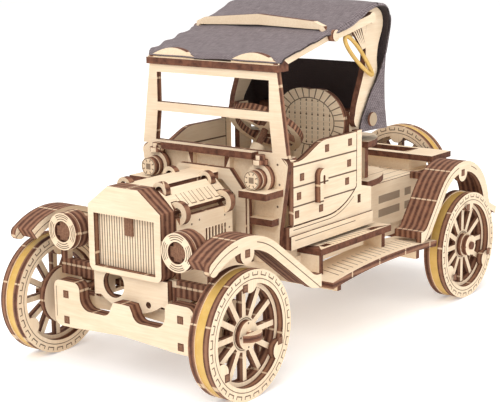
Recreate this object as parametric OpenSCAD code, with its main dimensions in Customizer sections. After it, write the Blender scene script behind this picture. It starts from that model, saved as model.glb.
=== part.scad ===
// Laser-cut plywood model of a vintage roadster with a folding canopy.
// Lengths run from the front axle, heights from the ground, widths from the centre line.

/* [Overall] */
// Distance between the axles
wheelbase = 181.6; // [172:0.2:218]
// Half the width over the outer faces of the wheels
half_track = 58.5; // [57:0.5:71]
// Thickness of the plywood sheet
ply = 3; // [2.9:0.1:3.1]

/* [Wheels] */
// Radius of a wheel
wheel_r = 27; // [24:0.5:28]
// Width of a wheel over its two outer rings
wheel_w = 10.4; // [9.6:0.2:12]
// Radius of the round opening in a wheel ring
ring_open_r = 21.4; // [19:0.2:21.6]
// Number of spokes in a wheel
spoke_count = 12; // [8:1:16]
// Width of one spoke
spoke_w = 2.4; // [1.6:0.1:3]
// Radius of the wheel hub
hub_r = 7.5; // [6:0.1:9]
// Radius of the drum on the inner side of a wheel
drum_r = 13; // [10:0.5:15]
// Radius of the axle stubs
axle_r = 2; // [1.6:0.1:2.4]

/* [Chassis] */
// Half the width between the outer faces of the two rails
rail_x = 23; // [20:0.5:25]
// Height of the top of the rails
rail_top = 42; // [40:0.5:43]
// Height of the underside of the rails
rail_bottom = 31; // [31:0.1:34]
// Distance from the rear axle to the rear end of the tail bar
tail_reach = 41.4; // [38:0.2:48]

/* [Bonnet] */
// Half the width of the radiator
radiator_x = 20.3; // [18:0.1:21.5]
// Height of the radiator's flat top
radiator_top = 82.1; // [78:0.1:90]
// Height of the radiator's lower edge
radiator_bottom = 44.5; // [44:0.1:47]
// Distance from the front axle to the firewall
firewall_y = 43; // [38:0.5:46]
// Height of the bonnet's flat top
bonnet_top_z = 81.5; // [78:0.5:86]
// Height of the shoulder where the side panels begin
shoulder_z = 70; // [68:0.5:72]
// Height of the lower edge of the side panels
side_low_z = 50; // [49:0.5:54]

/* [Body] */
// Half the width over the doors
body_x = 40; // [38:0.5:42]
// Distance from the front axle to the bulkhead
bulkhead_y = 49; // [47:0.5:51]
// Height of the bulkhead's top edge
bulkhead_top = 89.5; // [86:0.5:92]
// Length of a door
door_len = 50.6; // [46:0.2:60]
// Height of the rear part of a door's top edge
door_top = 93.7; // [90:0.1:96]
// Height of the cockpit floor
floor_z = 42; // [42:0.5:43]
// Height of the top of the windscreen
screen_top = 126; // [118:0.5:135]
// Half the width of the loading deck
deck_x = 26; // [24:0.5:30]
// Height of the loading deck's top face
deck_top = 61; // [58:0.5:63]

/* [Canopy] */
// Height of the top of the rear bow
bow_top = 148; // [140:0.5:158]
// Height of the pivot that the bow turns on
bow_pivot_z = 98.5; // [97.5:0.5:101]
// Thickness of the canopy cloth
cloth = 1.2; // [0.8:0.1:1.6]
// Crown of the canopy over its half width
crown = 3.5; // [2:0.5:6]

/* [Steering] */
// Radius of the steering wheel
steer_r = 17.5; // [14:0.5:18]
// Lean of the steering column above the horizontal, in degrees
column_lean = 50; // [40:1:60]
// Length of the steering arms behind the kingpins
steer_arm = 10; // [9:0.5:12]

/* [Hidden] */
run = 0.05;        // radial clearance of a pin that turns in its hole
gap = 0.3;         // side clearance between pieces that move past each other
fender_x = half_track - 3;
axle_z = wheel_r;
rear_y = wheelbase;
tail_y = wheelbase + tail_reach;
car_mid = (tail_y - wheel_r) / 2;
kingpin_x = half_track - 20.5;
wheel_in = half_track - wheel_w;
fender_gap = wheel_r - 27;
radiator_y = -10;
grille_front = radiator_y + ply;
radiator_back = radiator_y + 3 * ply;
shell_slant_x = 0.413 * radiator_x;
shell_shoulder = radiator_top - 8.9;
panel_in = 8;
bonnet_side_x = radiator_x + 0.7;
floor_top = floor_z + ply;
door_front = bulkhead_y + ply + 2.5;
door_rear = door_front + door_len;
door_low = 59;
door_nose = 88;
door_arc_r = 35.7;
door_pin_r = 0.8;
door_pin_y = door_front + ply / 2;
sill_low = 48.5;
sill_top = sill_low + 2 * ply;
member_x = 34;
seat_y = door_rear;
tub_rear = door_rear + 13;
spare_z = wheel_r + 25.8;
box_rear = wheelbase + 22.4;
box_front = box_rear - 18;
carrier_y = box_rear + ply;
bow_x = 37;
bow_pivot_y = door_rear + 6.4;
bow_head = [bow_pivot_y + 6.5, bow_top - 3];
arm_joint = [bow_head[0] - 30, bow_head[1] - 6];
header_y = bulkhead_y - 1;
header_z = screen_top + 0.2;
arm_foot = [header_y + 4, header_z + ply + 2];
pivot_r = 1.5;
board_front = 62;
board_rear = rear_y - 23;
board_z = 34.2;
board_rise = 3;
step_z = 47;
step_front = 66;
step_rear = board_rear - 33.6;
lamp_c = [32.1, 60.1];
lamp_r = 8.1;
cowl_lamp_c = [29.4, 80.5];
hub_c = [13, bulkhead_y + 23, bulkhead_top + 8.5];
birch = "burlywood";
burnt = "sienna";
$fn = 48;

// ---- helpers -------------------------------------------------------------

function arc(c, r, a0, a1, n = 12) =
  [for (i = [0:n]) let (a = a0 + (a1 - a0) * i / n) [c[0] + r * cos(a), c[1] + r * sin(a)]];
function round_rect(lo, hi, r) = concat(
  arc([hi[0] - r, lo[1] + r], r, -90, 0, 5), arc([hi[0] - r, hi[1] - r], r, 0, 90, 5),
  arc([lo[0] + r, hi[1] - r], r, 90, 180, 5), arc([lo[0] + r, lo[1] + r], r, 180, 270, 5));
function smooth(u) = u <= 0 ? 0 : u >= 1 ? 1 : u * u * (3 - 2 * u);
// A flowing line through the given points
function flowing(pts) = let (last = len(pts) - 1) concat([for (i = [0:last - 1], k = [0:2])
  let (u = k / 3, a = pts[max(0, i - 1)], b = pts[i], c = pts[i + 1], d = pts[min(last, i + 2)])
  b + 0.5 * u * (c - a + u * (2 * a - 5 * b + 4 * c - d + u * (3 * b - a - 3 * c + d)))], [pts[last]]);
function mirrored(pts) =
  concat(pts, [for (i = [len(pts) - 1:-1:0]) [-pts[i][0], pts[i][1]]]);

module car() translate([0, -car_mid, 0]) children();
module both() {
  children();
  mirror([1, 0, 0]) children();
}
module side(s) mirror([s < 0 ? 1 : 0, 0, 0]) children();
// A sheet that stands across the car, its outline given as width and height
module across(y0, th = ply) translate([0, y0 + th, 0]) rotate([90, 0, 0]) linear_extrude(th) children();
// A sheet that stands along the car, its outline given as length and height
module along(x0, th = ply) translate([x0, 0, 0]) rotate([90, 0, 90]) linear_extrude(th) children();
// A sheet that lies flat, its outline given as width and length
module flat(z0, th = ply) translate([0, 0, z0]) linear_extrude(th) children();
module bar(lo, hi) translate(lo) square(hi - lo);
module block(lo, hi) translate(lo) cube(hi - lo);
// A round bar along the width, and one along the height
module rod_x(x0, x1, y, z, r) translate([x0, y, z]) rotate([0, 90, 0]) cylinder(h = x1 - x0, r = r);
module rod_z(x, y, z0, z1, r) translate([x, y, z0]) cylinder(h = z1 - z0, r = r);

// ---- wheels --------------------------------------------------------------

module ring_outline() {
  difference() {
    circle(wheel_r);
    difference() {
      circle(ring_open_r);
      for (a = [0:120:359]) rotate(a + 90) translate([ring_open_r + 0.6, 0]) circle(4.2);
    }
  }
}
module spoke_outline() {
  circle(hub_r);
  for (i = [0:spoke_count - 1]) rotate(360 * i / spoke_count)
    translate([hub_r - 1, -spoke_w / 2]) square([ring_open_r - hub_r, spoke_w]);
}
// A wheel along +X with its inner face at x = 0
module wheel_body(bore_r, drum = true) {
  difference() {
    union() {
      along(0) ring_outline();
      along(wheel_w - ply) ring_outline();
      along(ply, wheel_w - 2 * ply) difference() {
        circle(ring_open_r + 1);
        circle(ring_open_r - 1.8);
      }
      along(wheel_w / 2 - ply / 2) spoke_outline();
      if (drum) along(0.8 - ply) circle(drum_r);
      rod_x(0, wheel_w - 1.4, 0, 0, hub_r - 1.5);
    }
    rod_x(-wheel_w, 2 * wheel_w, 0, 0, bore_r);
  }
}
module tyre_body() {
  along(ply, wheel_w - 2 * ply) difference() {
    circle(wheel_r - 0.6);
    circle(ring_open_r + 1);
  }
}

module wheel_front(s) color(birch) car() side(s) translate([wheel_in, 0, axle_z]) wheel_body(axle_r + run);
module tyre_front(s) color("goldenrod") car() side(s) translate([wheel_in, 0, axle_z]) tyre_body();
module wheels_rear() color(birch) car() both() translate([wheel_in, rear_y, axle_z]) {
  wheel_body(axle_r);
  difference() {
    rod_x(wheel_w - 1.4, wheel_w + 1.2, 0, 0, 5.2);
    rod_x(wheel_w - 2, wheel_w + 2, 0, 0, axle_r);
  }
}
module tyres_rear() color("goldenrod") car() both() translate([wheel_in, rear_y, axle_z]) tyre_body();
module rear_axle() color(burnt) car() rod_x(-half_track - 2.2, half_track + 2.2, rear_y, axle_z, axle_r);
module spare_wheel() color(birch) car() {
  translate([0, carrier_y, spare_z]) rotate([0, 0, 90]) wheel_body(axle_r, false);
}
module spare_tyre() color("goldenrod") car() translate([0, carrier_y, spare_z]) rotate([0, 0, 90]) tyre_body();

// ---- chassis -------------------------------------------------------------

module rail_outline() {
  polygon([[radiator_back - 3, rail_bottom], [box_rear - 1, rail_bottom], [box_rear + 2, 28],
    [tail_y - ply, 28], [tail_y - ply, 34.4], [box_rear + 2, 34.4], [box_rear - 1, rail_top],
    [firewall_y, rail_top], [firewall_y, side_low_z - 0.6], [radiator_back, side_low_z - 0.6],
    [radiator_back, rail_top], [radiator_back - 3, rail_top]]);
}
module bearer_outline() {
  difference() {
    union() {
      translate([rear_y, axle_z]) circle(6.5);
      bar([rear_y - 6.5, axle_z], [rear_y + 6.5, 38]);
    }
    translate([rear_y, axle_z]) circle(axle_r + run);
  }
}
module chassis_rails() color(birch) car() both() along(rail_x - ply) difference() {
  rail_outline();
  bar([steer_arm - 5, knuckle_high + ply - 0.5], [steer_arm + 4, knuckle_high + 2 * ply + 0.6]);
}
member_y = [16, 60, 104, rear_y - 34, rear_y + 10];
module cross_members() color(birch) car() {
  for (y = member_y) across(y) bar([-rail_x + ply, rail_bottom + 1], [rail_x - ply, rail_top - 1]);
  across(radiator_back - 3) bar([-rail_x, rail_top], [rail_x, radiator_bottom]);
  both() along(rail_x) bearer_outline();
  for (y = [board_front + 8, board_rear - 20]) difference() {
    across(y) bar([-fender_x + 2.5, 28], [fender_x - 2.5, 35]);
    both() along(rail_x - ply) rail_outline();
    across(y - 1, ply + 2) bar([-rail_x + ply, rail_bottom], [rail_x - ply, 40]);
    both() along(rail_x) bar([0, 31.5], [tail_y, 40]);
    both() along(member_x, 40) board_outline();
    both() along(member_x, 40) translate([0, ply]) board_outline();
  }
}
module front_bracket() color(birch) car() {
  across(radiator_y - ply, 2 * ply) polygon(mirrored(concat(
    [[0, 19.3]], arc([27, 21], 3.4, 250, 270, 4), arc([36, 21], 3.5, -90, 0, 5),
    arc([36, 34.6], 3.5, 0, 90, 5), arc([27.5, 34.8], 3.3, 90, 170, 5),
    arc([18.6, 32], 5.6, 0, -80, 6), arc([10.6, 31], 4.6, 270, 190, 6), [[4.6, 33], [0, 33.2]])));
  both() along(30) bar([radiator_y + ply, 25], [-3, 29]);
}
module front_axle_beam() color(birch) car() difference() {
  across(-3, 6) polygon(mirrored([[0, axle_z - 1], [kingpin_x + 2.6, axle_z - 3],
    [kingpin_x + 2.6, axle_z + 3], [rail_x + 2, axle_z + 3], [rail_x + 2, rail_bottom], [0, rail_bottom]]));
  both() rod_z(kingpin_x, 0, 10, 40, pivot_r + run);
}
module engine_plate() color(birch) car() across(radiator_back - 6) difference() {
  polygon(concat([[-radiator_x - 0.5, radiator_bottom]], [[-radiator_x - 0.5, 33]],
    arc([0, 58], 30, 235, 305, 12), [[radiator_x + 0.5, 33], [radiator_x + 0.5, radiator_bottom]]));
  translate([-9.5, 39]) circle(6);
  translate([10, 33]) circle(1.4);
}
module cockpit_floor() color(birch) car() flat(floor_z)
  bar([-31, bulkhead_y + ply], [31, tub_rear]);

// ---- radiator and bonnet -------------------------------------------------

function shell_half(grow) = concat(arc([radiator_x + grow - 3, radiator_bottom + 3 - grow], 3, -90, 0, 4),
  [[radiator_x + grow, shell_shoulder], [shell_slant_x + grow / 2, radiator_top + grow]]);
module shell_outline(grow = 0) polygon(mirrored(shell_half(grow)));
module radiator_shell() color(birch) car() {
  across(radiator_y) difference() {
    shell_outline();
    bar([-17, 46.8], [17, 69.8]);
  }
  across(grille_front, 2 * ply) difference() {
    shell_outline();
    bar([-18.4, 46], [18.4, 71]);
  }
}
module radiator_grille() color(birch) car() {
  across(grille_front) bar([-18.4, 46], [18.4, 71]);
  across(grille_front - 1) bar([-1.5, 61.5], [3, 69.5]);
}
panel_rear = firewall_y - 6.8;
ring_y = [panel_rear - 5.2, 1.5];
// Outer and inner radii of the hinge rings at the top and at the side of the bonnet
top_ring = [3.8, 2];
side_ring = [5, 2.4];
slope_axis = [panel_in + 2, bonnet_top_z - 1.5];
side_axis = [bonnet_side_x - ply / 2, shoulder_z + 1.6];
module hinge_ring(axis, y, th, ro, ri) translate([axis[0], y + th, axis[1]]) rotate([90, 0, 0])
  difference() {
    cylinder(h = th, r = ro);
    translate([0, 0, -1]) cylinder(h = th + 2, r = ri);
  }
module bonnet_top() color(birch) car() {
  difference() {
    flat(bonnet_top_z - ply) bar([-panel_in, radiator_back], [panel_in, firewall_y]);
    both() for (y = ring_y) hinge_ring(slope_axis, y, ply, top_ring[0], 0);
  }
  both() for (y = ring_y) hinge_ring(slope_axis, y, ply, top_ring[0], top_ring[1]);
}
slope_len = norm(side_axis - slope_axis);
slope_dir = (side_axis - slope_axis) / slope_len;
slope_out = [-slope_dir[1], slope_dir[0]];
module bonnet_slope(s) color(birch) car() side(s) difference() {
  across(radiator_back + gap, panel_rear - radiator_back - gap) polygon([
    slope_axis + slope_dir * 0.5 - slope_out * 1.5, slope_axis + slope_dir * (slope_len - 0.9) - slope_out * 1.5,
    slope_axis + slope_dir * (slope_len - 0.9) + slope_out * 1.5, slope_axis + slope_dir * 0.5 + slope_out * 1.5]);
  for (y = ring_y, hinge = [[slope_axis, top_ring], [side_axis, side_ring]])
    hinge_ring(hinge[0], y - 0.5, ply + 1, hinge[1][0] + 0.5, hinge[1][1] - 0.5);
}
module bonnet_side(s) color(birch) car() side(s) {
  difference() {
    along(bonnet_side_x - ply) difference() {
      bar([radiator_back + gap, side_low_z], [panel_rear, shoulder_z]);
      for (i = [0:6]) translate([panel_rear - 18.2 + 2.1 * i, 57]) square([1, 5.5]);
    }
    for (y = ring_y) hinge_ring(side_axis, y, ply, side_ring[0], 0);
  }
  for (y = ring_y) hinge_ring(side_axis, y, ply, side_ring[0], side_ring[1]);
}
module firewall() color(birch) car() across(firewall_y) difference() {
  polygon(mirrored([[rail_x, rail_top], [rail_x, 73], [21.7, 74.8], [14.4, bonnet_top_z + 1.9]]));
  polygon(mirrored([[17.5, 50], [17.5, 72], [10, 78.4]]));
}

// ---- cowl and windscreen -------------------------------------------------

module bulkhead() color(birch) car() {
  across(bulkhead_y) difference() {
    polygon(mirrored(concat([[rail_x + 8, floor_z]], [[body_x - 3.4, 50]], [[body_x - 3, 57]],
      arc([body_x - 2, bulkhead_top - 3.5], 3.5, 0, 90, 6))));
    translate([hub_c[0], column_hole_z]) square([4.4, 9.6], center = true);
    bar([-14, 46], [6, 56]);
  }
  both() along(9) polygon([[firewall_y + ply, 75], [bulkhead_y, 75], [bulkhead_y, bulkhead_top - 1],
    [bulkhead_y - 2.5, bulkhead_top - 1], [firewall_y + ply, 81]]);
  flat(bulkhead_top - 1) bar([-25.8, bulkhead_y - 5], [25.8, bulkhead_y]);
  // Brackets that hold the top pins of the doors
  both() difference() {
    flat(door_nose - 0.4, 1.5) bar([body_x - ply, bulkhead_y + ply], [body_x, door_pin_y + 1.5]);
    rod_z(body_x - ply / 2, door_pin_y, 80, 100, door_pin_r + run);
  }
}
module cowl_shelves() color(birch) car() both() {
  flat(73) bar([rail_x + 1.2, firewall_y - 6.5], [body_x - 1, bulkhead_y]);
  flat(60) bar([rail_x + 1.2, firewall_y + 1], [body_x - 3.5, bulkhead_y]);
  across(firewall_y + ply - 2, 2) bar([rail_x, 45], [rail_x + 1.2, 76]);
}
module windscreen() color(birch) car() across(bulkhead_y) difference() {
  polygon(mirrored([[body_x + 1, bulkhead_top], [36, screen_top]]));
  bar([-31.7, screen_top - 17.1], [31.7, screen_top - 3.4]);
  polygon(mirrored([[33.3, bulkhead_top + 2], [31.8, screen_top - 21.1]]));
}

// ---- lamps ---------------------------------------------------------------

module headlamp(s) color(birch) car() side(s) {
  translate([lamp_c[0], 0, lamp_c[1]]) {
    across(radiator_y - 4) difference() {
      circle(lamp_r);
      circle(4.6);
    }
    across(radiator_y - 4 + ply, 2 * ply) circle(lamp_r + 0.2);
    across(radiator_y - 4 + 3 * ply) circle(lamp_r - 1.6);
    across(radiator_y - 3) square([8, 4.4], center = true);
    across(radiator_y - 3) square([4.4, 8], center = true);
  }
  across(radiator_y - 4 + 3 * ply) bar([radiator_x, lamp_c[1] - 2], [lamp_c[0], lamp_c[1] + 2]);
}
module cowl_lamp(s) color(birch) car() side(s) difference() {
  translate([cowl_lamp_c[0], 0, cowl_lamp_c[1]]) {
    across(38.9) circle(4.1);
    across(38.9 + ply) circle(4.5);
    across(bulkhead_y - 4.5) circle(6.4);
    across(bulkhead_y - 1.5, 1.5) circle(3);
    flat(6.2, 2) translate([0, bulkhead_y - 3.5]) circle(3.4);
    flat(8.2, 2) translate([0, bulkhead_y - 3.5]) circle(2.2);
  }
  // Flat foot on the lamp shelf
  across(30, 30) bar([20, 60], [40, 76]);
}

// ---- fenders, boards and steps -------------------------------------------

// A band that follows an arc, runs down a straight slope and levels out
function band(c, r, th, a_tip, a_slope, slope_run, r_tail, tail_run) = let (
    n = [cos(a_slope), sin(a_slope)], d = [sin(a_slope), -cos(a_slope)],
    t = c + r * n + slope_run * d + r_tail * n)
  concat(arc(c, r, a_tip, a_slope, 16), arc(t, r_tail, a_slope + 180, 270, 5),
    [[t[0] + tail_run, t[1] - r_tail], [t[0] + tail_run, t[1] - r_tail - th]],
    arc(t, r_tail + th, 270, a_slope + 180, 5), arc(c, r - th, a_slope, a_tip, 16));
module fender_front(s) color(birch) car() side(s) {
  for (i = [0:3]) along(fender_x - (i + 1) * ply)
    translate([0, fender_gap]) polygon(band([0.5, 30], 37, i == 0 ? 5.8 : 5, 125, 54, 31, 8, 2));
  along(fender_x - ply) translate([0.5, 30 + fender_gap] + 34.1 * [cos(125), sin(125)]) circle(3);
  along(fender_x - ply) translate([2, 60 + fender_gap]) circle(4.4);
  across(radiator_back - ply) {
    bar([rail_x, rail_top - 4], [fender_x - 4 * ply, rail_top + 3]);
    bar([fender_x - 4 * ply - 4, rail_top], [fender_x - 4 * ply, 64 + fender_gap]);
  }
}
module fender_rear(s) color(birch) car() side(s) difference() {
  rear_fender_sheets();
  along(0, 80) under_board();
}
module rear_fender_sheets() {
  for (i = [0:4]) along(fender_x - (i + 1) * ply) translate([rear_y, fender_gap])
    mirror([1, 0]) polygon(band([1.5, 41.5], 28.6, i == 0 ? 5.3 : 3.6, 172, 38.5, 20, 6, 1.5));
  along(fender_x - ply) translate([rear_y - 2, 64.4 + fender_gap]) circle(4.4);
  along(fender_x - 5 * ply, 5 * ply) translate([rear_y, fender_gap])
    polygon([[23.6, 46], [26.9, 46], [27.6, 44], [35.6, 40.3], [34.6, 37], [26.2, 41.2], [24, 44.4]]);
  across(rear_y - 4) bar([deck_x, 58.6], [fender_x - 5 * ply, 62 + fender_gap]);
  across(rear_y - 4) bar([fender_x - 5 * ply - 2, 62 + fender_gap], [fender_x - 5 * ply, 68.5 + fender_gap]);
}
board_half = (board_rear - board_front) / 2;
board_r = (board_half * board_half + board_rise * board_rise) / (2 * board_rise);
board_a = asin(board_half / board_r);
board_c = [board_front + board_half, board_z + board_rise - board_r];
module board_outline() polygon(concat(arc(board_c, board_r, 90 + board_a, 90 - board_a, 16),
  arc(board_c, board_r - ply, 90 - board_a, 90 + board_a, 16)));
// Everything below the top face of the running board
module under_board() polygon(concat(arc(board_c, board_r, 90 + board_a, 90 - board_a, 16),
  [[board_rear, 20], [board_front, 20]]));
module running_board(s) color(birch) car() side(s) difference() {
  along(member_x + 2, fender_x - member_x - 1.5) board_outline();
  rod_x(wheel_in - 1, 80, rear_y, axle_z, wheel_r + 2);
}
module step(s) color(birch) car() side(s) {
  flat(step_z - ply) difference() {
    bar([member_x, step_front], [47, step_rear]);
    for (y = [step_front + 5, step_rear - 15]) translate([42.4, y]) square([3, 6]);
  }
  for (y = [step_front, step_rear - 7]) difference() {
    across(y) bar([member_x + 2, 30], [46, step_z - ply]);
    along(member_x, 40) under_board();
  }
}

// ---- body ----------------------------------------------------------------

door_c = [door_rear - 24.3, door_low + door_arc_r];
door_turn = acos(1 - 9.3 / door_arc_r);
module body_side(s) color(birch) car() side(s) {
  along(member_x - ply) bar([bulkhead_y + ply, floor_z], [tub_rear, sill_top]);
  along(member_x, body_x - member_x + 1) bar([bulkhead_y + ply, sill_low], [tub_rear, sill_top]);
  difference() {
    along(body_x - ply) difference() {
      polygon(concat([[bulkhead_y + ply, sill_top], [bulkhead_y + ply, door_low - 0.7]],
        arc(door_c, door_arc_r + 0.7, 270, 270 + door_turn, 8),
        [[door_rear + 0.5, door_low + 10], [door_rear + 0.5, door_top + 0.5],
        [door_rear + 4.5, door_top + 0.5], [door_rear + 4.5, 68], [tub_rear, 66], [tub_rear, sill_top]]));
      bar([door_rear + 1.2, door_low + 1], [door_rear + 3.8, door_low + 5]);
    }
    rod_z(body_x - ply / 2, door_pin_y, sill_low, door_low, door_pin_r + run);
  }
}
function door_curve(y) = door_nose - 1.2 + (door_top - door_nose + 1.2) * smooth((y - door_front - 4) / 22);
module door(s) color(birch) car() side(s) {
  along(body_x - ply) polygon(concat(
    [[door_pin_y, door_low]], arc(door_c, door_arc_r, 270, 270 + door_turn, 8), [[door_rear, door_low + 10]],
    [for (i = [0:16]) let (y = door_rear - (door_rear - door_pin_y) * i / 16) [y, door_curve(y)]]));
  rod_z(body_x - ply / 2, door_pin_y, door_low, door_nose - 1.2, ply / 2);
  rod_z(body_x - ply / 2, door_pin_y, door_low - 2.4, door_low, door_pin_r);
  rod_z(body_x - ply / 2, door_pin_y, door_nose - 1.2, door_nose + 1.1, door_pin_r);
  // Handle
  along(body_x) polygon(concat([[door_front + 17, 66.5]], arc([door_front + 20, 78.5], 3.2, 180, 0, 8),
    [[door_front + 23.2, 74.5], [door_front + 20.8, 74.5]], arc([door_front + 20, 78], 0.8, 0, 180, 4),
    [[door_front + 19.6, 66.5]]));
}
module seat_box() color(birch) car() {
  across(seat_y - 21) bar([-29, floor_top], [29, 60]);
  both() along(28) bar([seat_y - 21 + ply, floor_top], [seat_y, 60]);
  flat(60) bar([-31, seat_y - 22], [31, seat_y]);
  flat(60 + ply) polygon(round_rect([-30, seat_y - 22], [30, seat_y - 0.5], 4));
  both() difference() {
    along(bow_x - 2 * ply - 0.2) polygon([[seat_y + ply + gap, sill_top], [tub_rear, sill_top], [tub_rear, 92],
      [bow_pivot_y + 4, bow_pivot_z + 3.5], [seat_y + ply + gap, bow_pivot_z + 3.5]]);
    rod_x(0, 60, bow_pivot_y, bow_pivot_z, pivot_r + run);
  }
}
seat_x = 13.5;
module seat_back() color(birch) car() across(seat_y) {
  for (d = [-4, 4]) translate([seat_x + d, 96.5]) circle(15.5);
  bar([seat_x - 9, 70], [seat_x + 9, 90]);
  bar([-28, floor_top], [28, 72]);
}
module rear_ledges() color(birch) car() {
  flat(65) polygon(mirrored(concat([[body_x - 2, tub_rear]], arc([body_x - 44, tub_rear + 2], 42, 0, 50, 8))));
  flat(84) polygon(mirrored(concat([[body_x - 2, tub_rear]], arc([body_x - 32, tub_rear], 30, 0, 52, 8))));
  both() across(tub_rear + 6) bar([26, 65 + ply], [32.5, 84]);
  both() across(tub_rear + 6) bar([20, deck_top], [deck_x, 65]);
  across(tub_rear) bar([-30, floor_z], [30, 65]);
  across(tub_rear) bar([-30, 65 + ply], [30, 84]);
}
module loading_deck() color(birch) car() {
  difference() {
    flat(deck_top - ply) bar([-deck_x, tub_rear + ply], [deck_x, box_rear]);
    // Score lines at the two ends of the free part of the deck
    for (y = [tub_rear + 34.5, box_front - 2.7]) block([-40, y, deck_top - 0.3], [40, y + 0.6, 80]);
  }
  both() along(deck_x - ply) bar([tub_rear + ply, 38.2], [rear_y + 8, deck_top - ply]);
}
box_x = 17.5;
module cargo_box() color(birch) car() {
  both() along(box_x) bar([box_front, deck_top], [box_rear, 67]);
  across(box_front) bar([-box_x, deck_top], [box_x, 67]);
  across(box_rear - ply) bar([-box_x, deck_top], [box_x, 67]);
  flat(67) difference() {
    bar([-35, box_front - 2], [35, box_rear]);
    bar([-box_x, box_front + ply], [box_x, box_rear - ply]);
  }
}
module tail_bar() color(birch) car() {
  across(tail_y - ply) polygon(round_rect([-50, 29], [50, 36], 1));
  across(box_rear) difference() {
    union() {
      translate([0, spare_z]) circle(9);
      bar([-10, 45], [10, 60]);
    }
    translate([0, spare_z]) circle(axle_r);
  }
  translate([0, box_rear, spare_z]) rotate([-90, 0, 0]) cylinder(h = ply + wheel_w + 1.6, r = axle_r);
  difference() {
    across(carrier_y + wheel_w) translate([0, spare_z]) circle(5);
    translate([0, box_rear, spare_z]) rotate([-90, 0, 0]) cylinder(h = 60, r = axle_r);
  }
}

// ---- steering ------------------------------------------------------------

column_dir = [0, cos(column_lean), sin(column_lean)];
column_hole_z = hub_c[2] - (hub_c[1] - bulkhead_y - ply / 2) * tan(column_lean);
module on_column(d) translate(hub_c + column_dir * d) rotate([column_lean - 90, 0, 0]) children();
module steering_wheel() color(birch) car() {
  on_column(-1.5) linear_extrude(ply) {
    difference() {
      circle(steer_r);
      circle(steer_r - 3);
    }
    for (a = [45:90:359]) rotate(a) translate([0, -1.3]) square([steer_r - 1.5, 2.6]);
    circle(3.6);
  }
  on_column(-36) cylinder(h = 37, r = pivot_r);
}
module steering_column() color(birch) car() difference() {
  on_column(-34) cylinder(h = 24, r = 3);
  on_column(-50) cylinder(h = 70, r = pivot_r + run);
  block([hub_c[0] - 9, bulkhead_y - 30, 30], [hub_c[0] + 9, bulkhead_y + ply, 130]);
}
knuckle_low = axle_z - 6.1;
knuckle_high = axle_z + ply + 0.1;
post_x = kingpin_x + 4.6;
module knuckle(s) color(birch) car() side(s) {
  flat(knuckle_high) {
    bar([kingpin_x, -4], [post_x + ply, 4]);
    translate([kingpin_x, 0]) circle(4);
    bar([kingpin_x - 2.4, 0], [kingpin_x + 2.4, steer_arm]);
    translate([kingpin_x, steer_arm]) circle(2.4);
  }
  flat(knuckle_low) {
    bar([kingpin_x, -4], [post_x + ply, 4]);
    translate([kingpin_x, 0]) circle(4);
  }
  along(post_x) bar([-4, knuckle_low + ply], [4, knuckle_high]);
  rod_z(kingpin_x, 0, knuckle_low + ply, knuckle_high, pivot_r);
  rod_x(post_x + ply, half_track + 0.3, 0, axle_z, axle_r);
  rod_z(kingpin_x, steer_arm, knuckle_high + ply, knuckle_high + 2 * ply, 1.2);
  // Half-round key that keeps the wheel on its axle
  flat(axle_z - ply / 2) intersection() {
    translate([half_track - 2.8, 0]) circle(6.6);
    bar([half_track + 0.3, -8], [half_track + 8, 8]);
  }
}
module tie_rod() color(birch) car() flat(knuckle_high + ply + 0.1, ply - 0.2) difference() {
  polygon(mirrored([[0, steer_arm - 2.5], [kingpin_x - 3.4, steer_arm - 2.5],
    [kingpin_x - 3.4, steer_arm - 4], [kingpin_x + 3.4, steer_arm - 4], [kingpin_x + 3.4, steer_arm + 2.8],
    [kingpin_x - 3.4, steer_arm + 2.8], [kingpin_x - 3.4, steer_arm + 2.2], [0, steer_arm + 2.2]]));
  both() translate([kingpin_x, steer_arm]) polygon(concat(arc([0, 0], 1.45, 0, 180, 10),
    arc([0, -1], 1.45, 180, 360, 10)));
}

// ---- canopy --------------------------------------------------------------

module at_joint(p) translate([p[0], p[1]]) children();
bow_shape = flowing([[bow_pivot_y - 3.4, bow_pivot_z], [bow_pivot_y - 2.4, bow_pivot_z + 6],
  [bow_pivot_y + 1, bow_pivot_z + 14], [bow_pivot_y + 4.6, bow_pivot_z + 22.5],
  [bow_head[0] - 0.8, bow_head[1] - 15], [bow_head[0] - 3, bow_head[1] - 7], [bow_head[0] - 5, bow_head[1]],
  [bow_head[0] - 1.5, bow_head[1] + 4.8], [bow_head[0] + 7, bow_head[1] + 4.6],
  [bow_head[0] + 12.6, bow_head[1] + 1.4], [bow_head[0] + 13.8, bow_head[1] - 4.5],
  [bow_head[0] + 10, bow_head[1] - 13], [bow_head[0] + 8.8, bow_head[1] - 20],
  [bow_pivot_y + 15.6, bow_pivot_z + 20.5], [bow_pivot_y + 11, bow_pivot_z + 12.5],
  [bow_pivot_y + 5.4, bow_pivot_z + 5.6], [bow_pivot_y + 3.6, bow_pivot_z]]);
module bow_outline() difference() {
  union() {
    polygon(bow_shape);
    at_joint([bow_pivot_y, bow_pivot_z]) circle(3.8);
  }
  at_joint(bow_head) circle(pivot_r + run);
}
module canopy_bow() color(birch) car() {
  both() along(bow_x - ply) bow_outline();
  both() rod_x(bow_x - 2 * ply - 0.2, bow_x - ply, bow_pivot_y, bow_pivot_z, pivot_r);
  across(bow_head[0] - 1.5) bar([-bow_x + ply, bow_head[1] - 9], [bow_x - ply, bow_head[1] - 3.5]);
  both() along(bow_x) translate([bow_pivot_y + 7.8, bow_pivot_z + 22]) circle(1);
}
link_dir = (bow_head - arm_joint) / norm(bow_head - arm_joint);
link_up = [-link_dir[1], link_dir[0]];
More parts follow.
